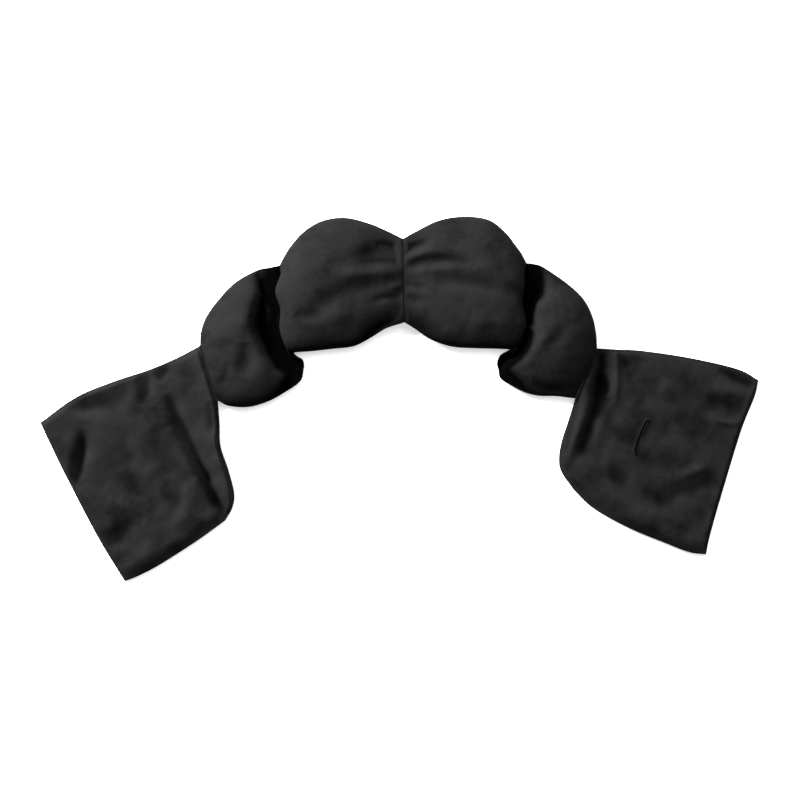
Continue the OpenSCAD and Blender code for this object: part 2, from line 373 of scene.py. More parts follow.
def fullness(u, v, blunt):
    """How full a pod is, from 0 at its border to 1 where it is highest."""
    swell = (1 - (1 - u) ** blunt[0]) * (1 - u ** blunt[1])
    return swell / swell.max() * np.power(np.clip(np.sin(math.pi * v), 0, 1), EDGE_ROUNDNESS)


def pod_rest(name):
    """Upper and lower grid of a pod, before it is filled, both with the same border."""
    seam_a, seam_b = (SEAM[s] for s in SEAMS_OF[name])
    nu, nv = POD_STEPS[0] + 1, POD_STEPS[1] + 1

    def edge(points, end):
        heights = np.linspace(seam_a[end][2], seam_b[end][2], len(points) + 2)
        flat = [seam_a[end][:2], *points, seam_b[end][:2]]
        return smooth_curve(np.column_stack([flat, heights]), nu)

    bottom, top = edge(POD_BOTTOM[name], 0), edge(POD_TOP[name], 1)
    left, right = (np.linspace(s[0], s[1], nv) for s in (seam_a, seam_b))
    middle = coons(bottom, top, left, right)
    u = np.linspace(0, 1, nu)[:, None]
    v = np.linspace(0, 1, nv)[None]
    full = fullness(u, v, BLUNT[name])
    upper, lower = middle.copy(), middle.copy()
    upper[..., 2] += (CROWN[name] - middle[..., 2]) * full
    lower[..., 2] -= (middle[..., 2] - UNDERSIDE) * np.minimum(1, UNDERSIDE_STEEP * full)
    return upper, lower


FILL_FRAMES = 24
PLIES_APART = 0.5      # between the two covers as they are cut
CONTACT_GAP = 0.0004   # metres that the simulation keeps between the cloth and the table


def sewn_bag(name, upper, lower, cut):
    """Closed bag of both covers, its flat cut as a shape key, and where its inner points are."""
    nu, nv = upper.shape[:2]
    count = nu * nv
    inner = np.ones((nu, nv), bool)
    inner[[0, -1]] = False
    inner[:, [0, -1]] = False
    number = np.arange(count).reshape(nu, nv)
    low_number = number.copy()
    low_number[inner] = count + np.arange(inner.sum())
    points = np.vstack([upper.reshape(-1, 3), lower[inner]])
    faces = [
        (g[i, j], g[i + 1, j], g[i + 1, j + 1], g[i, j + 1])[::step]
        for g, step in ((number, 1), (low_number, -1))
        for i in range(nu - 1) for j in range(nv - 1)
    ]
    bag = new_object(name + "_filling", points, faces)
    flat = np.stack(np.meshgrid(
        np.linspace(0, cut[0], nu), np.linspace(0, cut[1], nv), indexing="ij"), axis=-1)
    flat = np.concatenate([flat, np.zeros((nu, nv, 1))], axis=2)
    rest = np.vstack([flat.reshape(-1, 3), flat[inner] - [0, 0, PLIES_APART]]) * MM
    bag.shape_key_add(name="Basis")
    key = bag.shape_key_add(name="cut")
    key.data.foreach_set("co", rest.ravel())
    key.value = 0
    pins = bag.vertex_groups.new(name="pins")
    pins.add([int(i) for i in number[~inner]], 1.0, "REPLACE")
    return bag, points, inner


def make_cloth(bag, gain):
    """Gives a bag the stiffness of micro-fleece, its sewn edges held, and a pressure inside."""
    cloth = bag.modifiers.new("cloth", "CLOTH")
    s = cloth.settings
    s.quality = 6
    s.mass = 0.25
    s.tension_stiffness = s.compression_stiffness = 12
    s.shear_stiffness = 4
    s.bending_stiffness = 0.35
    s.air_damping = 4
    s.vertex_group_mass = "pins"
    s.pin_stiffness = 1
    s.use_pressure = True
    s.uniform_pressure_force = gain
    s.effector_weights.gravity = 0
    s.rest_shape_key = bag.data.shape_keys.key_blocks["cut"]
    cloth.collision_settings.use_collision = True
    cloth.collision_settings.distance_min = CONTACT_GAP
    cloth.point_cache.frame_start = 1
    cloth.point_cache.frame_end = FILL_FRAMES + 6


def fill_pod(name, upper, lower, cut, gain):
    """Blows the sewn covers up with their flat cut as rest shape, on a table, as beads fill them."""
    bag, points, inner = sewn_bag(name, upper, lower, cut)
    make_cloth(bag, gain)
    scene = bpy.context.scene
    for frame_number in range(1, FILL_FRAMES + 1):
        scene.frame_set(frame_number)
    shown = bag.evaluated_get(bpy.context.evaluated_depsgraph_get())
    moved = np.empty(len(shown.data.vertices) * 3)
    shown.data.vertices.foreach_get("co", moved)
    step = moved.reshape(-1, 3) / MM - points
    far = np.linalg.norm(step, axis=1, keepdims=True)
    moved = points + step * np.minimum(1, CAP / np.maximum(far, 1e-9))
    scene.frame_set(1)
    bpy.data.objects.remove(bag)
    new_upper = moved[:inner.size].reshape(upper.shape)
    new_lower = new_upper.copy()
    new_lower[inner] = moved[inner.size:]
    return new_upper, new_lower


def table_for_filling():
    """A table that the simulated cloth can't pass through."""
    bpy.ops.mesh.primitive_plane_add(size=1.2, location=(0, 0, -0.0002))
    table = bpy.context.object
    table.modifiers.new("collision", "COLLISION")
    table.collision.thickness_outer = CONTACT_GAP
    return table


# Flat cut of each pod between its seams: length and width
CUT = {
    "left_side": (84, 128), "left_eye": (121, 128), "right_eye": (121, 128), "right_side": (80, 122)
}
PRESSURE = 3.5

# Folds of each pod's front: path, width, height
POD_FOLDS = {
    "left_eye": [
        ([(3, 121), (-14, 127), (-32, 124), (-44, 120)], 7, -3.8),
        ([(3, 128), (-10, 133), (-22, 134)], 3.5, -2.4),
        ([(3, 117), (-14, 119), (-34, 117)], 3.2, -2.4),
        ([(2, 109), (-16, 109), (-40, 108), (-52, 108)], 5, 2.2),
        ([(-72, 80), (-54, 90), (-34, 97), (-14, 99)], 7.5, -3.0),
        ([(2, 88), (-12, 88), (-24, 85)], 3.5, -1.8),
        ([(3, 98), (-10, 97)], 3, 1.6),
        ([(-34, 54), (-16, 64), (-2, 72)], 8, -3.5),
        ([(-86, 76), (-78, 72), (-66, 76)], 6, -2.4),
        ([(-66, 66), (-52, 72), (-40, 74)], 8, 2.0),
        ([(-98, 66), (-94, 54), (-84, 48)], 7, 1.5),
    ],
    "right_eye": [
        ([(3.5, 127), (12, 132), (24, 136)], 3.2, -3.0),
        ([(3.5, 121), (16, 125), (30, 130)], 3, 1.0),
        ([(3.5, 113), (20, 119), (42, 121), (62, 117)], 4.2, -4.2),
        ([(3.5, 107), (24, 111), (50, 112)], 4, 1.1),
        ([(4, 98), (12, 98), (24, 96)], 3, -1.6),
        ([(26, 101), (48, 103), (74, 99), (100, 90)], 6.5, -3.6),
        ([(4, 88), (14, 87), (22, 84)], 3.5, -1.8),
        ([(6, 76), (20, 66), (40, 58)], 7, -2.6),
        ([(74, 134), (84, 122), (96, 112)], 8, -1.8),
        ([(60, 72), (76, 68), (92, 66)], 9, 2.2),
    ],
    "left_side": [
        ([(-100, 136), (-110, 118), (-111, 104), (-110, 90), (-115, 71), (-112, 56), (-104, 38), (-92, 24),
          (-84, 14)], 9.5, -21),
        ([(-124, 76), (-119, 64), (-112, 50)], 6, -6),
        ([(-94, 44), (-88, 32), (-90, 18), (-102, 8)], 8, -9),
        ([(-106, 50), (-101, 38), (-93, 31), (-88, 30)], 2.2, 4.0),
        ([(-138, 20), (-132, 34), (-133, 50)], 8, -4.0),
        ([(-160, 8), (-150, 20), (-146, 34)], 4, -1.6),
        ([(-128, 74), (-142, 58), (-152, 42)], 13, 2.6),
        ([(-148, 66), (-144, 54), (-147, 42)], 6, -1.6),
    ],
    "right_side": [
        ([(108, 132), (114, 112), (115, 94), (112, 80), (112, 62)], 6, -13),
        ([(122, 112), (121, 98), (123, 84)], 5, -5.0),
        ([(112, 62), (107, 50), (99, 36), (90, 26)], 6, -15),
        ([(97, 42), (88, 32), (88, 20), (98, 10)], 7, -8),
        ([(126, 60), (120, 46), (110, 34), (101, 24)], 5, 1.2),
        ([(142, 62), (132, 50), (120, 42)], 6, -2.4),
        ([(112, 15), (128, 11), (144, 11)], 5, -3.2),
        ([(152, 68), (146, 82), (134, 94)], 12, 1.8),
    ],
}
# Where the cloth of a pod is dragged sideways: place, push, radius. A place with a height is on
# the front only; one without takes the back and the pod's long edges along
POD_GRABS = {
    "left_eye": [
        ((-101, 92, 14), (-10, 0, 0), 15),
        ((-96, 62, 12), (-9.5, 0, 0), 16),
        ((-96, 48, 10), (-2, -2, 0), 11),
    ],
    "right_eye": [
        ((104, 98, 12), (4, 0, 0), 14),
        ((98, 66, 13), (10, 0, 0), 17),
        ((97, 50, 11), (3, -2, 0), 11),
    ],
    "left_side": [((-90, 29), (7, 1, 0), 10), ((-92, 18), (5, 1, 0), 9), ((-92, 37), (5, 0, 0), 8)],
    "right_side": [((93, 31), (-9, 1, 0), 11), ((94, 18), (-6, 1, 0), 9), ((95, 38), (-5, 0, 0), 8)],
}


POD_FOLD_REACH = 4.0   # how far from a pod's border its folds are complete
GRAB_REACH = 7         # how far from its cross seams a drag is complete


def held(grid, name, reach):
    """0 on a pod's two cross seams, rising to 1 at the given distance from them."""
    weight = 1.0
    for seam in SEAMS_OF[name]:
        low, high = SEAM[seam]
        d, _ = path_distance(grid, [low[:2], high[:2]])
        weight = weight * np.clip(d / reach, 0, 1)
    return weight


def border_freedom(grid, reach):
    """0 at a grid's border, rising to 1 at the given distance from it."""
    nu, nv = grid.shape[:2]
    flat = grid[..., :2]
    border = flat.reshape(-1, 2)[border_of(nu, nv)]
    d = np.full((nu, nv), 1e9)
    for b in border[::2]:
        d = np.minimum(d, np.linalg.norm(flat - b, axis=-1))
    d[[0, -1]] = 0
    d[:, [0, -1]] = 0
    t = np.clip(d / reach, 0, 1)
    return t * t * (3 - 2 * t)


def edge_freedom(grid, lines, reaches):
    """0 on the given border lines of a grid, rising to 1 at each one's own distance."""
    free = 1.0
    for line, reach in zip(lines, reaches):
        d, _ = path_distance(grid, line[::3, :2])
        t = np.clip(d / reach, 0, 1)
        free = free * t * t * (3 - 2 * t)
    return free


def make_pod(name):
    """Upper and lower surface of a filled pod, with its folds."""
    upper, lower = pod_rest(name)
    upper, lower = fill_pod(name, upper, lower, CUT[name], PRESSURE)
    upper, lower = denser(upper), denser(lower)
    free = border_freedom(upper, POD_FOLD_REACH)
    for path, width, height in POD_FOLDS[name]:
        upper = fold(upper, free, path, width, height)
    # A crease is never so deep that the covers cross
    upper[..., 2] = np.maximum(upper[..., 2], lower[..., 2] + 2 * PLY * free)
    for place, push, radius in POD_GRABS[name]:
        if len(place) == 3:
            upper = grab(upper, free, place, push, radius)
        else:
            upper = grab(upper, held(upper, name, GRAB_REACH), place, push, radius)
            lower = grab(lower, held(lower, name, GRAB_REACH), place, push, radius)
    upper = ripple(upper, len(name) * 7 + ord(name[0]), 26, 0.28, free)
    lower[..., 2] = np.clip(lower[..., 2], 0.0, None)
    return upper, lower


def sampled(grid, margins):
    """The grid again, on as many points, but ending inside its border.

    margins are shares of the grid: at its -X end, at its +X end, and along both long edges.
    """
    for axis, start, end in ((0, margins[0], margins[1]), (1, margins[2], margins[2])):
        g = np.moveaxis(grid, axis, 0)
        at = np.linspace(start, 1 - end, len(g)) * (len(g) - 1)
        low = np.minimum(at.astype(int), len(g) - 2)
        part = (at - low)[:, None, None]
        grid = np.moveaxis(g[low] * (1 - part) + g[low + 1] * part, 0, axis)
    return grid


def inside(upper, lower, margins, depth):
    """Surfaces for something within a pod: drawn in from its edges and in by a depth."""
    top, low = sampled(upper, margins), sampled(lower, margins)
    middle = (top + low) / 2
    to_middle = middle - top
    far = np.linalg.norm(to_middle, axis=2, keepdims=True)
    step = to_middle * np.minimum(depth / np.maximum(far, 1e-6), 0.9)
    return top + step, low - step


# ---------------------------------------------------------------- cloth
def node(tree, kind, **inputs):
    """A shader node with some of its inputs set."""
    made = tree.nodes.new(kind)
    for key, value in inputs.items():
        made.inputs[key.replace("_", " ")].default_value = value
    return made


def new_material(name):
    """A material, its node tree and its surface node."""
    material = bpy.data.materials.new(name)
    material.use_nodes = True
    tree = material.node_tree
    return material, tree, tree.nodes["Principled BSDF"]


def colour_ramp(tree, value, *stops):
    """A node that turns a value into a colour; each stop is a value and its colour."""
    ramp = tree.nodes.new("ShaderNodeValToRGB")
    elements = ramp.color_ramp.elements
    for element, (at, colour) in zip((elements[0], elements[1]), (stops[0], stops[-1])):
        element.position = at
        element.color = (*colour, 1)
    for at, colour in stops[1:-1]:
        elements.new(at).color = (*colour, 1)
    tree.links.new(value, ramp.inputs["Fac"])
    return ramp


# What the fleece's colour is multiplied by, from a ridge (0) to a crease (1): a painted highlight on ridges,
# painted shade in creases
PAINTED_FOLD_LIGHT_AND_SHADE = (0.2, (0.9, 0.9, 0.9)), (0.5, (0.68, 0.68, 0.68)), (0.82, (0.02, 0.02, 0.02))


def fleece(name, dark, light, sheen):
    """Short velvety nap: brushed patches, fine fibres and a soft sheen, with painted shade in creases and a
    painted highlight on ridges.
    """
    material, tree, surface = new_material(name)
    place = tree.nodes.new("ShaderNodeTexCoord").outputs["Object"]
    patches = node(tree, "ShaderNodeTexNoise", Scale=38.0, Detail=3.0, Roughness=0.55)
    streaks = node(tree, "ShaderNodeTexNoise", Scale=160.0, Detail=4.0, Roughness=0.6)
    fibres = node(tree, "ShaderNodeTexNoise", Scale=1500.0, Detail=2.0, Roughness=0.7)
    for texture in (patches, streaks, fibres):
        tree.links.new(place, texture.inputs["Vector"])
    blend = node(tree, "ShaderNodeMath")
    blend.operation = "MULTIPLY_ADD"
    blend.inputs[1].default_value = 0.45
    tree.links.new(streaks.outputs["Fac"], blend.inputs[0])
    tree.links.new(patches.outputs["Fac"], blend.inputs[2])
    speckle = node(tree, "ShaderNodeMath")
    speckle.operation = "MULTIPLY_ADD"
    speckle.inputs[1].default_value = 0.5
    tree.links.new(fibres.outputs["Fac"], speckle.inputs[0])
    tree.links.new(blend.outputs[0], speckle.inputs[2])
    ramp = colour_ramp(tree, speckle.outputs[0], (0.62, dark), (1.0, light))
    # The colour is multiplied by the painted shade and highlight that each mesh holds
    painted_light_and_shade = tree.nodes.new("ShaderNodeAttribute")
    painted_light_and_shade.attribute_name = "painted_light_and_shade"
    shade = colour_ramp(tree, painted_light_and_shade.outputs["Fac"], *PAINTED_FOLD_LIGHT_AND_SHADE)
    painted_shading = tree.nodes.new("ShaderNodeMix")
    painted_shading.data_type = "RGBA"
    painted_shading.blend_type = "MULTIPLY"
    painted_shading.inputs["Factor"].default_value = 1.0
    tree.links.new(ramp.outputs["Color"], painted_shading.inputs["A"])
    tree.links.new(shade.outputs["Color"], painted_shading.inputs["B"])
    tree.links.new(painted_shading.outputs["Result"], surface.inputs["Base Color"])
    bump_small = node(tree, "ShaderNodeBump", Strength=0.35, Distance=0.0004)
    bump_large = node(tree, "ShaderNodeBump", Strength=0.35, Distance=0.0012)
    tree.links.new(streaks.outputs["Fac"], bump_large.inputs["Height"])
    tree.links.new(fibres.outputs["Fac"], bump_small.inputs["Height"])
    tree.links.new(bump_large.outputs["Normal"], bump_small.inputs["Normal"])
    tree.links.new(bump_small.outputs["Normal"], surface.inputs["Normal"])
    surface.inputs["Roughness"].default_value = 0.95
    surface.inputs["Specular IOR Level"].default_value = 0.01
    surface.inputs["Sheen Weight"].default_value = sheen
    surface.inputs["Sheen Roughness"].default_value = 0.45
    surface.inputs["Sheen Tint"].default_value = (0.6, 0.6, 0.61, 1)
    return material


def jersey(name, colour):
    """Fine knit: rows of stitches crossed by columns."""
    material, tree, surface = new_material(name)
    place = tree.nodes.new("ShaderNodeTexCoord").outputs["Object"]
    columns = node(tree, "ShaderNodeTexWave", Scale=260.0, Distortion=1.2, Detail=2.0)
    columns.inputs["Detail Scale"].default_value = 6.0
    rows = node(tree, "ShaderNodeTexWave", Scale=380.0, Distortion=1.0, Detail=1.0)
    rows.bands_direction = "Y"
    for texture in (columns, rows):
        tree.links.new(place, texture.inputs["Vector"])
    height = node(tree, "ShaderNodeMath")
    height.operation = "MULTIPLY"
    tree.links.new(columns.outputs["Fac"], height.inputs[0])
    tree.links.new(rows.outputs["Fac"], height.inputs[1])
    dark, light = ([c * share for c in colour] for share in (0.55, 1.5))
    ramp = colour_ramp(tree, height.outputs[0], (0.0, dark), (1.0, light))
    tree.links.new(ramp.outputs["Color"], surface.inputs["Base Color"])
    bump = node(tree, "ShaderNodeBump", Strength=0.5, Distance=0.0004)
    tree.links.new(height.outputs[0], bump.inputs["Height"])
    tree.links.new(bump.outputs["Normal"], surface.inputs["Normal"])
    surface.inputs["Roughness"].default_value = 0.85
    surface.inputs["Specular IOR Level"].default_value = 0.06
    return material


def twisted_thread(name, colour):
    """Polyester thread with a fine twist."""
    material, tree, surface = new_material(name)
    place = tree.nodes.new("ShaderNodeTexCoord").outputs["Object"]
    twist = node(tree, "ShaderNodeTexWave", Scale=700.0, Distortion=2.0)
    twist.bands_direction = "DIAGONAL"
    tree.links.new(place, twist.inputs["Vector"])
    dark, light = ([c * share for c in colour] for share in (0.5, 1.4))
    ramp = colour_ramp(tree, twist.outputs["Fac"], (0.0, dark), (1.0, light))
    tree.links.new(ramp.outputs["Color"], surface.inputs["Base Color"])
    bump = node(tree, "ShaderNodeBump", Strength=0.4, Distance=0.0002)
    tree.links.new(twist.outputs["Fac"], bump.inputs["Height"])
    tree.links.new(bump.outputs["Normal"], surface.inputs["Normal"])
    surface.inputs["Roughness"].default_value = 0.7
    surface.inputs["Specular IOR Level"].default_value = 0.05
    return material


FLEECE = fleece("black_micro_fleece", (0.0037, 0.0037, 0.0038), (0.0104, 0.0104, 0.0106), 0.005)
JERSEY = jersey("black_jersey", (0.0025, 0.0025, 0.0026))
THREAD = twisted_thread("black_thread", (0.003, 0.003, 0.0031))
LINER = jersey("cotton_liner", (0.5, 0.48, 0.45))
BEADS = jersey("bead_fill", (0.6, 0.62, 0.64))


def dress(piece, material):
    """Gives a piece its look."""
    piece.data.materials.append(material)


# ---------------------------------------------------------------- joining pieces to the bodies
# Reach from its seam that each piece's bend is given
BEND = {"right_eye": 24, "left_side": 22, "right_side": 22, "flap": 50}


def fasten(piece, material, body, cad_node):
    """Dresses a piece that moves with one body and stands for one CAD node."""
    dress(piece, material)
    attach(piece, body)
    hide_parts(cad_node)


def bend(piece, seam, parent, child, sign, reach):
    """Bakes a piece's placement into its mesh."""
    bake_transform(piece)


# Seam, parent body and side of each pod that moves
POD_JOINT = {
    "right_eye": ("centre", "left_eye_pod", 1),
    "left_side": ("left_inner", "left_eye_pod", -1),
    "right_side": ("right_inner", "right_eye_pod", 1),
}


def hang_pod(piece, name):
    """Ties the left eye pod's piece to its body; a piece of any other pod only gets its placement baked into
    its mesh.
    """
    if name == "left_eye":
        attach(piece, "left_eye_pod")
        return
    seam, parent, sign = POD_JOINT[name]
    bend(piece, seam, parent, name + "_pod", sign, BEND[name])


# Strength and reach of the painted shade along a pod's lower edge, and reaches of the painted shade beside a
# seam and under a tucked corner
LOW_EDGE_SHADE = 0.24
LOW_EDGE_REACH = 12
SEAM_SHADE_REACH = 17
LOBE_SHADE_REACH = 10
# Only the low part beside a seam gets painted shade: fully at SHADE_FULL below SHADE_TOP
SHADE_TOP = 16
SHADE_FULL = 6
# Where each side pod's lower corner tucks under the eye pod, given painted shade
LOBE = {
    "left_side": [(-104, 50), (-92, 34), (-86, 24), (-93, 12)],
    "right_side": [(104, 52), (94, 36), (88, 26), (93, 14)],
}


def painted_seam_shade(name, grid):
    """Painted shade on a side pod's low part beside the eye pod, and on its corner tucked under it."""
    if "side" not in name:
        return 0.0
    low, high = SEAM[name.replace("side", "inner")]
    d, _ = path_distance(grid, [low[:2], high[:2]])
    low_part = np.clip((SHADE_TOP - grid[..., 2]) / SHADE_FULL, 0, 1)
    beside = np.exp(-(d / SEAM_SHADE_REACH) ** 2) * low_part
    lobe, _ = path_distance(grid, LOBE[name])
    return 0.5 * np.maximum(beside, np.exp(-(lobe / LOBE_SHADE_REACH) ** 2))


def painted_low_edge_shade(grid):
    """Painted shade along the pod's lower edge, the one that the wearer's nose and cheeks touch."""
    d, _ = path_distance(grid, grid[::4, 0, :2])
    return LOW_EDGE_SHADE * np.exp(-(d / LOW_EDGE_REACH) ** 2)


# How much of a side pod's length, from its -X and +X end, the liner and beads stay out of
TUCKED = {"left_side": (0, 0.17), "right_side": (0.17, 0)}
COVER_MARGINS = (0.012, 0.012, 0.012)
LINER_MARGINS = (0.07, 0.07, 0.06)
BEAD_MARGINS = (0.1, 0.1, 0.09)
LINER_GAP = 0.8        # from the covers to the liner
BEAD_GAP = 1.8         # from the covers to the beads
# Sides of each pod where its painted crease shade is left out, and how far from them that holds
OPEN_EDGES = {
    "left_side": {"top": 12, "left": 10},
    "left_eye": {"top": 12, "right": 9},
    "right_eye": {"top": 12, "left": 9},
    "right_side": {"top": 12, "right": 10},
}


def pod_pieces(name):
    """Front, back, liner bag and beads of a pod."""
    upper, lower = make_pod(name)
    inner_top, inner_low = inside(upper, lower, COVER_MARGINS, PLY)
    front = shell(name + "_front", upper, inner_top, True)
    back = shell(name + "_back", lower, inner_low, False)
    # Painted shade beside the inner seam, under the tucked corner and along the lower edge, on top of the
    # painted crease shade and ridge highlight
    painted_seam_and_edge_shade = painted_seam_shade(name, upper) + painted_low_edge_shade(upper)
    paint_fold_light_and_shade(front, upper, POD_SHADE_DEPTH, OPEN_EDGES[name], painted_seam_and_edge_shade)
    dress(front, FLEECE)
    dress(back, JERSEY)
    coarse = upper[::2, ::2], lower[::2, ::2]
    # The bag stops short of the corner that tucks under the eye pod
    tucked = np.array([*TUCKED.get(name, (0, 0)), 0])
    liner = shell(name + "_liner_bag", *inside(*coarse, tucked + LINER_MARGINS, PLY + LINER_GAP), True)
    dress(liner, LINER)
    beads = shell(name + "_beads", *inside(*coarse, tucked + BEAD_MARGINS, PLY + BEAD_GAP), True)
    dress(beads, BEADS)
    for piece in (front, back, liner, beads):
        hang_pod(piece, name)
    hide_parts(name + "_front_cover", name + "_edge_seam")
    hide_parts(name + "_back_cover")
    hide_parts(name + "_bead_liner")
    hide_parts(name + "_bead_fill")


# ---------------------------------------------------------------- flaps
FLAP_PLY = 1.25
FLAP_PLY_GAP = 0.05    # least gap between a flap's two plies
BACK_PUFF = 0.4        # how far the back ply puffs up, as a share of the front one
# How far from a flap's seam side, end, upper and lower edge the folds and the puff are complete
FOLD_REACHES = (4.0, 5.0, 5.0, 9.0)
PUFF_REACHES = (3.5, 3.0, 3.5, 13.0)
PUFF_HEIGHT = 3.2
EDGE_FOLDING = 0.35    # share of a fold that is left at an edge
LIP_HEIGHT = 0.9       # how far the slit's lips stand up
LIP_WIDTH = 2.6
SEAM_TOP = 0.9         # height of a flap's top over its seam's line
# The slit in the back ply is narrow and lies aside, so that the table doesn't show through
BACK_SLIT_WIDE = 0.3
BACK_SLIT_ASIDE = 2.6
# Folds of each flap: path, width, height
FLAP_FOLDS = {
    "left": [
        ([(-176, 54), (-168, 28), (-162, 8), (-160, -8), (-158, -30), (-151, -58), (-146, -82), (-148, -99)],
         12, 5.0),
        ([(-203, 8), (-190, -24), (-181, -46), (-171, -63), (-163, -81), (-148, -106)], 5.8, -6.6),
        ([(-210, -30), (-196, -56), (-180, -74)], 15, -3.0),
        ([(-163, 0), (-162, -14), (-161, -30)], 5, -4.4),
        ([(-214, -116), (-191, -106), (-179, -78), (-176, -64)], 8, 2.2),
        ([(-274, -24), (-277, -50), (-285, -80)], 5.5, -5.4),
        ([(-264, -34), (-266, -52), (-272, -70)], 7, 0.7),
        ([(-225, 40), (-221, 16), (-224, -6)], 6.5, -5.6),
        ([(-204, 44), (-210, 14)], 6, -5.2),
        ([(-284, -10), (-256, 2), (-228, 10)], 9, -2.3),
        ([(-264, -138), (-247, -118), (-230, -100)], 8, -4.2),
        ([(-252, -84), (-240, -92), (-230, -90)], 9, 1.8),
        ([(-246, -30), (-262, -14), (-284, -16)], 8, 1.6),
        ([(-240, -60), (-232, -72), (-214, -92)], 8, -2.0),
        ([(-238, -144), (-224, -136), (-206, -122)], 7, 1.8),
    ],
    "right": [
        ([(172, 54), (164, 30), (161, 14), (159.5, -2), (156, -18), (149.5, -41), (142.5, -62)], 7, 2.8),
        ([(177, 56), (174, 28), (174, 12), (172, -2), (165, -22), (157, -39), (147, -58)], 6.5, -4.4),
        ([(173, 24), (177, 14), (180, 4)], 6, -2.4),
        ([(154, -2), (147.5, -25), (142, -49)], 3.5, -2.5),
        ([(185, 46), (187, 18), (184, -8)], 3.4, 1.8),
        ([(180, -6), (179, -26), (172, -44)], 7, -1.8),
        ([(190, 42), (198, 27)], 5, -2.0),
        ([(276, 30), (292, 21), (312, 12)], 7.5, -5.0),
        ([(270, 14), (282, 8), (298, 4)], 7, 2.4),
        ([(262, -2), (284, -6), (308, -8)], 9, -1.2),
        ([(266, -14), (280, -19), (294, -20)], 3.2, 2.6),
        ([(244, -12), (256, -22), (268, -28)], 9, -1.9),
        ([(226, -84), (252, -77), (284, -70)], 9, -2.9),
        ([(238, -67), (252, -62), (266, -58)], 5, 2.6),
        ([(164, -62), (194, -70), (226, -62)], 10, -0.8),
        ([(172, -66), (188, -82), (206, -94), (244, -106)], 7, 2.2),
        ([(196, -44), (222, -52), (244, -42)], 9, -1.0),
        ([(236, 32), (226, 8), (232, -22)], 14, 1.4),
        ([(216, 20), (222, 2), (240, -2)], 8, -1.8),
    ],
}


def flap_grid(side):
    """Upper surface of a flap, with its folds."""
    first, second, third, fourth = FLAP_SIDES[side]
    nu, nv = FLAP_STEPS[0] + 1, FLAP_STEPS[1] + 1
    seam = SEAM[side + "_outer"]
    along_top = smooth_curve(first, nu)
    end_edge = smooth_curve(second, nv)[::-1]
    along_low = smooth_curve(third, nu)[::-1]
    inner = smooth_curve(fourth, 200)
    seam_part = np.linspace(seam[0][:2], seam[1][:2], 60)
    seam_edge = smooth_curve(np.vstack([inner[:-1:8], seam_part[::6], seam[1][None, :2]]), nv)
    flat = coons(along_low, along_top, seam_edge, end_edge)
    if side == "left":
        flat = flat[::-1]
    grid = np.concatenate([flat, np.zeros(flat.shape[:2] + (1,))], axis=2)
    near_side, far_side = (-1, 0) if side == "left" else (0, -1)
    edges = grid[near_side], grid[far_side], grid[:, -1], grid[:, 0]
    free = edge_freedom(grid, edges, FOLD_REACHES)
    half = np.linalg.norm(seam[1] - seam[0]) / 2
    d = (seam[1] - seam[0]) / (2 * half)
    from_middle = grid[..., :2] - ((seam[0] + seam[1]) / 2)[:2]
    away = np.abs(from_middle @ np.array([d[1], -d[0]]))
    beside = np.clip((np.abs(from_middle @ d[:2]) - half) / 8, 0, 1)
    # 0 on the cross seam, 1 away from it and past its ends
    off_seam = np.maximum(np.sqrt(np.clip(away / 3.5, 0, 1)), beside)
    puff = edge_freedom(grid, edges, PUFF_REACHES)
    grid[..., 2] = FLAP_PLY * 2 + 0.5 * free + PUFF_HEIGHT * puff
    # The folds run on over the edges, weaker
    edge_free = EDGE_FOLDING + (1 - EDGE_FOLDING) * free
    for path, width, height in FLAP_FOLDS[side]:
        grid = fold(grid, edge_free * off_seam, path, width, height)
    grid = ripple(grid, 5 if side == "left" else 8, 34, 0.75, edge_free)
    grid = ripple(grid, 15 if side == "left" else 18, 15, 0.22, free)
    if side == "right":
        c, s = math.cos(SLIT_TURN) * SLIT_LONG / 2, math.sin(SLIT_TURN) * SLIT_LONG / 2
        ends = [(SLIT_MIDDLE[0] - c, SLIT_MIDDLE[1] - s), (SLIT_MIDDLE[0] + c, SLIT_MIDDLE[1] + s)]
        d, _ = path_distance(grid, ends)
        grid[..., 2] += LIP_HEIGHT * np.exp(-(d / LIP_WIDTH) ** 2)
    # The deepest creases end softly on the back ply
    above = grid[..., 2] - 2 * FLAP_PLY
    grid[..., 2] = 2 * FLAP_PLY + (above + np.sqrt(above ** 2 + 1.5)) / 2
    seam_z = seam[0][2] + SEAM_TOP
    grid[..., 2] = off_seam * grid[..., 2] + (1 - off_seam) * seam_z
    return grid


def cut_slit(piece, wide, aside):
    """Cuts the slit through a flap's ply, shifted aside."""
    long = SLIT_LONG + 0.4 * wide
    rim = slot_outline(long, wide, 10) + aside * np.array([math.sin(SLIT_TURN), -math.cos(SLIT_TURN)])
    points = np.vstack([
        np.column_stack([rim, np.full(len(rim), z)]) for z in (-20.0, 30.0)
    ])
    n = len(rim)
    faces = [(i, (i + 1) % n, n + (i + 1) % n, n + i) for i in range(n)]
    faces += [tuple(range(n))[::-1], tuple(range(n, 2 * n))]
    cutter = new_object("slit_cutter", points, faces)
    cut = piece.modifiers.new("slit", "BOOLEAN")
    cut.operation = "DIFFERENCE"
    cut.solver = "EXACT"
    cut.object = cutter
    shown = piece.evaluated_get(bpy.context.evaluated_depsgraph_get())
    mesh = bpy.data.meshes.new_from_object(shown)
    piece.modifiers.clear()
    piece.data = mesh
    bpy.data.objects.remove(cutter)


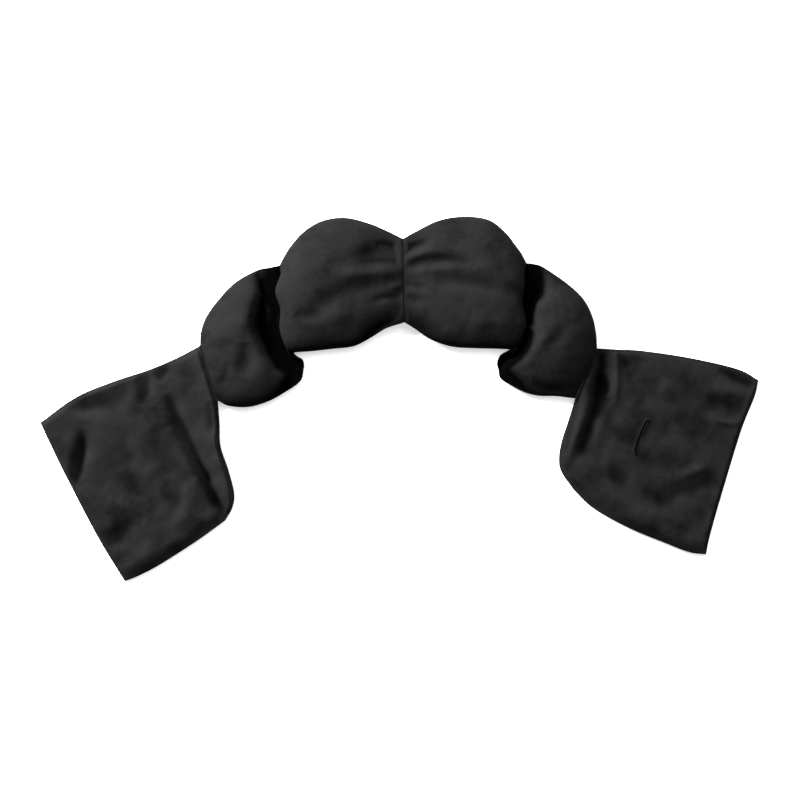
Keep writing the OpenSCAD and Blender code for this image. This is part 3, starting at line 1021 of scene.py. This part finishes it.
def slot_outline(long, wide, steps):
    """Slightly bowed slot with round ends, about the slit's middle, as points in plan."""
    half = (long - wide) / 2
    points = []
    for end in (1, -1):
        for a in np.linspace(-math.pi / 2, math.pi / 2, steps):
            points.append((end * (half + math.cos(a) * wide / 2), end * math.sin(a) * wide / 2))
        for t in np.linspace(1, -1, steps + 2)[1:-1]:
            points.append((end * t * half, end * wide / 2))
    points = np.array(points)
    points[:, 1] += SLIT_BOW * (1 - (points[:, 0] / (long / 2)) ** 2)
    c, s = math.cos(SLIT_TURN), math.sin(SLIT_TURN)
    return points @ np.array([[c, s], [-s, c]]) + np.array(SLIT_MIDDLE)


def height_at(grid, place):
    """Height of a surface at the grid point that is nearest in plan."""
    d = np.linalg.norm(grid[..., :2] - np.array(place), axis=-1)
    return grid[..., 2].ravel()[d.argmin()]


SATIN_SPACING = 0.62
SATIN_SLANT = 0.12     # how far a stitch leans along the edge, per millimetre across it
BAR_SPACING = 0.42
BARS_PER_END = 4
# One satin stitch over the slit's edge, and one end bar: offsets across it and heights
SATIN_ARC = [(-0.5, -0.9), (-0.42, -0.1), (-0.2, 0.12), (0.2, 0.14), (0.5, 0.05), (0.7, -0.3)]
SATIN_RADII = [0.15, 0.24, 0.27, 0.27, 0.24, 0.15]
BAR_ARC = [(-1.6, -0.2), (-1.2, 0.42), (0, 0.62), (1.2, 0.42), (1.6, -0.2)]
BAR_RADII = [0.16, 0.22, 0.24, 0.22, 0.16]


def satin_stitches(grid):
    """Stitches side by side over the slit's edge, all the way round."""
    # The line on which they sit lies a little outside the cut
    rim = slot_outline(SLIT_LONG + 0.8, SLIT_WIDE + 0.5, 12)
    closed = np.vstack([rim, rim[:1]])
    run = np.concatenate([[0], np.cumsum(np.linalg.norm(np.diff(closed, axis=0), axis=1))])

    def on_rim(distance):
        return np.array([np.interp(distance % run[-1], run, closed[:, i]) for i in (0, 1)])

    count = int(run[-1] / SATIN_SPACING)
    stitches = []
    for k in range(count):
        s = run[-1] * k / count
        place = on_rim(s)
        along = on_rim(s + 0.3) - place
        along = along / np.linalg.norm(along)
        across = np.array([along[1], -along[0]])
        z = height_at(grid, place)
        path = [(*(place + across * a + along * SATIN_SLANT * a), z + h) for a, h in SATIN_ARC]
        stitches.append(tube(path, SATIN_RADII))
    return joined("slit_satin_stitches", stitches)


def end_bars(grid):
    """Bars of thread side by side across both ends of the slit."""
    along = np.array([math.cos(SLIT_TURN), math.sin(SLIT_TURN)])
    across = np.array([-along[1], along[0]])
    bars = []
    for end in (-1, 1):
        for k in range(BARS_PER_END):
            middle = np.array(SLIT_MIDDLE) + end * (SLIT_LONG / 2 + 0.2 + BAR_SPACING * k) * along
            z = height_at(grid, middle)
            path = [(*(middle + across * a), z + h) for a, h in BAR_ARC]
            bars.append(tube(path, BAR_RADII))
    return joined("slit_end_bars", bars)


def slit_pieces(grid):
    """Satin stitches round the slit's edge, and the bars across its ends."""
    fasten(satin_stitches(grid), THREAD, "right_flap", "slit_binding")
    fasten(end_bars(grid), THREAD, "right_flap", "slit_bartacks")


def flap_pieces(side):
    """Front and back ply of a flap; gives back the flap's upper surface."""
    grid = flap_grid(side)
    # The front ply puffs up more than the back one, which stays nearer the table
    back_low = grid.copy()
    back_low[..., 2] = BACK_PUFF * (grid[..., 2] - 2 * FLAP_PLY)
    back_top = back_low + [0, 0, FLAP_PLY - FLAP_PLY_GAP]
    front_low = grid - normals_of(grid) * FLAP_PLY
    # Halfway between square to the surface and straight down, so that tight folds don't cross
    front_low[..., :2] = grid[..., :2] * 0.5 + front_low[..., :2] * 0.5
    lowest = back_top[..., 2] + FLAP_PLY_GAP
    front_low[..., 2] = np.clip(front_low[..., 2], lowest, grid[..., 2] - 0.5 * FLAP_PLY)
    name = side + "_flap"
    front = shell(name + "_front", grid, front_low, True)
    back = shell(name + "_back", back_low, back_top, False)
    near_side = "right" if side == "left" else "left"
    # Painted crease shade and ridge highlight on the front ply
    paint_fold_light_and_shade(front, grid, FLAP_SHADE_DEPTH, {"top": 4, side: 5, near_side: 6})
    if side == "right":
        cut_slit(front, SLIT_WIDE, 0)
        cut_slit(back, BACK_SLIT_WIDE, BACK_SLIT_ASIDE)
    dress(front, FLEECE)
    dress(back, JERSEY)
    seam, parent = side + "_outer", side + "_side_pod"
    for piece in (front, back):
        bend(piece, seam, parent, name, -1 if side == "left" else 1, BEND["flap"])
    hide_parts(name + "_front_ply", name + "_edge_seam")
    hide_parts(name + "_back_ply")
    return grid


# ---------------------------------------------------------------- cross seams
SEAM_BODY = {
    "left_outer": "left_side_pod", "left_inner": "left_eye_pod", "centre": "left_eye_pod",
    "right_inner": "right_eye_pod", "right_outer": "right_side_pod",
}
GATHER = 4.6           # from one gather to the next
ROLL_STEP = 0.7        # from one ring of the roll to the next
ROLL_RADIUS = 0.7
ROLL_END_RADIUS = 0.3
ROLL_DOWN = 0.8        # the roll lies under the line where the covers meet
STITCH = 2.6           # from one stitch to the next
STITCH_ARC = [(-0.8, 0.55), (-0.45, 0.55), (0, 0.35), (0.45, 0.55), (0.8, 0.55)]
STITCH_RADII = [0.12, 0.19, 0.2, 0.19, 0.12]


def seam_pieces(name):
    """Gathered seam allowance between two sections, with its thread on top."""
    low, high = SEAM[name]
    long = np.linalg.norm(high - low)
    steps = int(long / ROLL_STEP)
    t = np.linspace(0, 1, steps)
    path = low + (high - low) * t[:, None] - np.array([0, 0, ROLL_DOWN])
    phase = 2 * math.pi * t * long / GATHER
    # Two waves that don't repeat together, so that no two gathers are the same
    radii = ROLL_RADIUS + 0.16 * np.sin(phase) + 0.08 * np.sin(2.3 * phase + 1)
    radii[0] = radii[-1] = ROLL_END_RADIUS
    roll = joined(name + "_gathers", [tube(path, radii, 12)])
    fasten(roll, FLEECE, SEAM_BODY[name], name + "_seam_roll")
    d = (high - low) / long
    across = np.array([d[1], -d[0], 0])
    parts = []
    for k in range(1, int(long / STITCH)):
        middle = low + d * STITCH * k
        path = [middle + across * a + d * 0.3 * a + np.array([0, 0, h]) for a, h in STITCH_ARC]
        parts.append(tube(path, STITCH_RADII))
    thread = joined(name + "_stitches", parts)
    fasten(thread, THREAD, SEAM_BODY[name], name + "_seam_stitches")


# ---------------------------------------------------------------- set
LENS = 85
SENSOR = 36
# The view is this many times as wide as the object
VIEW_SHARE = 1.1172
CAMERA_HEIGHT = VIEW_SHARE * (cad_box[1][0] - cad_box[0][0]) * LENS / SENSOR


def make_set():
    """White table and surroundings, two lamps and the camera."""
    bpy.ops.mesh.primitive_plane_add(size=30, location=(0, 0, -0.0003))
    floor = bpy.context.object
    floor.name = "table"
    material, _, surface = new_material("white_table")
    surface.inputs["Base Color"].default_value = (0.95, 0.95, 0.95, 1)
    surface.inputs["Roughness"].default_value = 0.9
    surface.inputs["Specular IOR Level"].default_value = 0.1
    surface.inputs["Emission Color"].default_value = (1, 1, 1, 1)
    surface.inputs["Emission Strength"].default_value = 0.45
    floor.data.materials.append(material)
    world = bpy.data.worlds.new("studio")
    bpy.context.scene.world = world
    world.use_nodes = True
    world.node_tree.nodes["Background"].inputs["Color"].default_value = (1, 1, 1, 1)
    world.node_tree.nodes["Background"].inputs["Strength"].default_value = 0.45
    for name, place, size, power in (
        ("key", (-1.3, 1.2, 0.95), 0.7, 260),
        ("fill", (0.6, 1.0, 1.7), 1.4, 22),
    ):
        data = bpy.data.lights.new(name, "AREA")
        data.size = size
        data.energy = power
        lamp = bpy.data.objects.new(name, data)
        lamp.location = place
        aim = -np.array(place) / np.linalg.norm(place)
        lamp.rotation_euler = (math.acos(-aim[2]), 0, math.atan2(aim[1], aim[0]) + math.pi / 2 + math.pi)
        bpy.context.collection.objects.link(lamp)
    data = bpy.data.cameras.new("camera")
    data.lens = LENS
    data.sensor_width = SENSOR
    camera = bpy.data.objects.new("camera", data)
    bpy.context.collection.objects.link(camera)
    camera.location = (0, 0, CAMERA_HEIGHT)
    bpy.context.scene.camera = camera
    bpy.context.scene.view_settings.view_transform = "Standard"


make_set()
filling_table = None
filling_table = table_for_filling()
for pod in ("left_side", "left_eye", "right_eye", "right_side"):
    pod_pieces(pod)
if filling_table:
    bpy.data.objects.remove(filling_table)
flap_pieces("left")
right_grid = flap_pieces("right")
slit_pieces(right_grid)
for seam_name in SEAM:
    seam_pieces(seam_name)
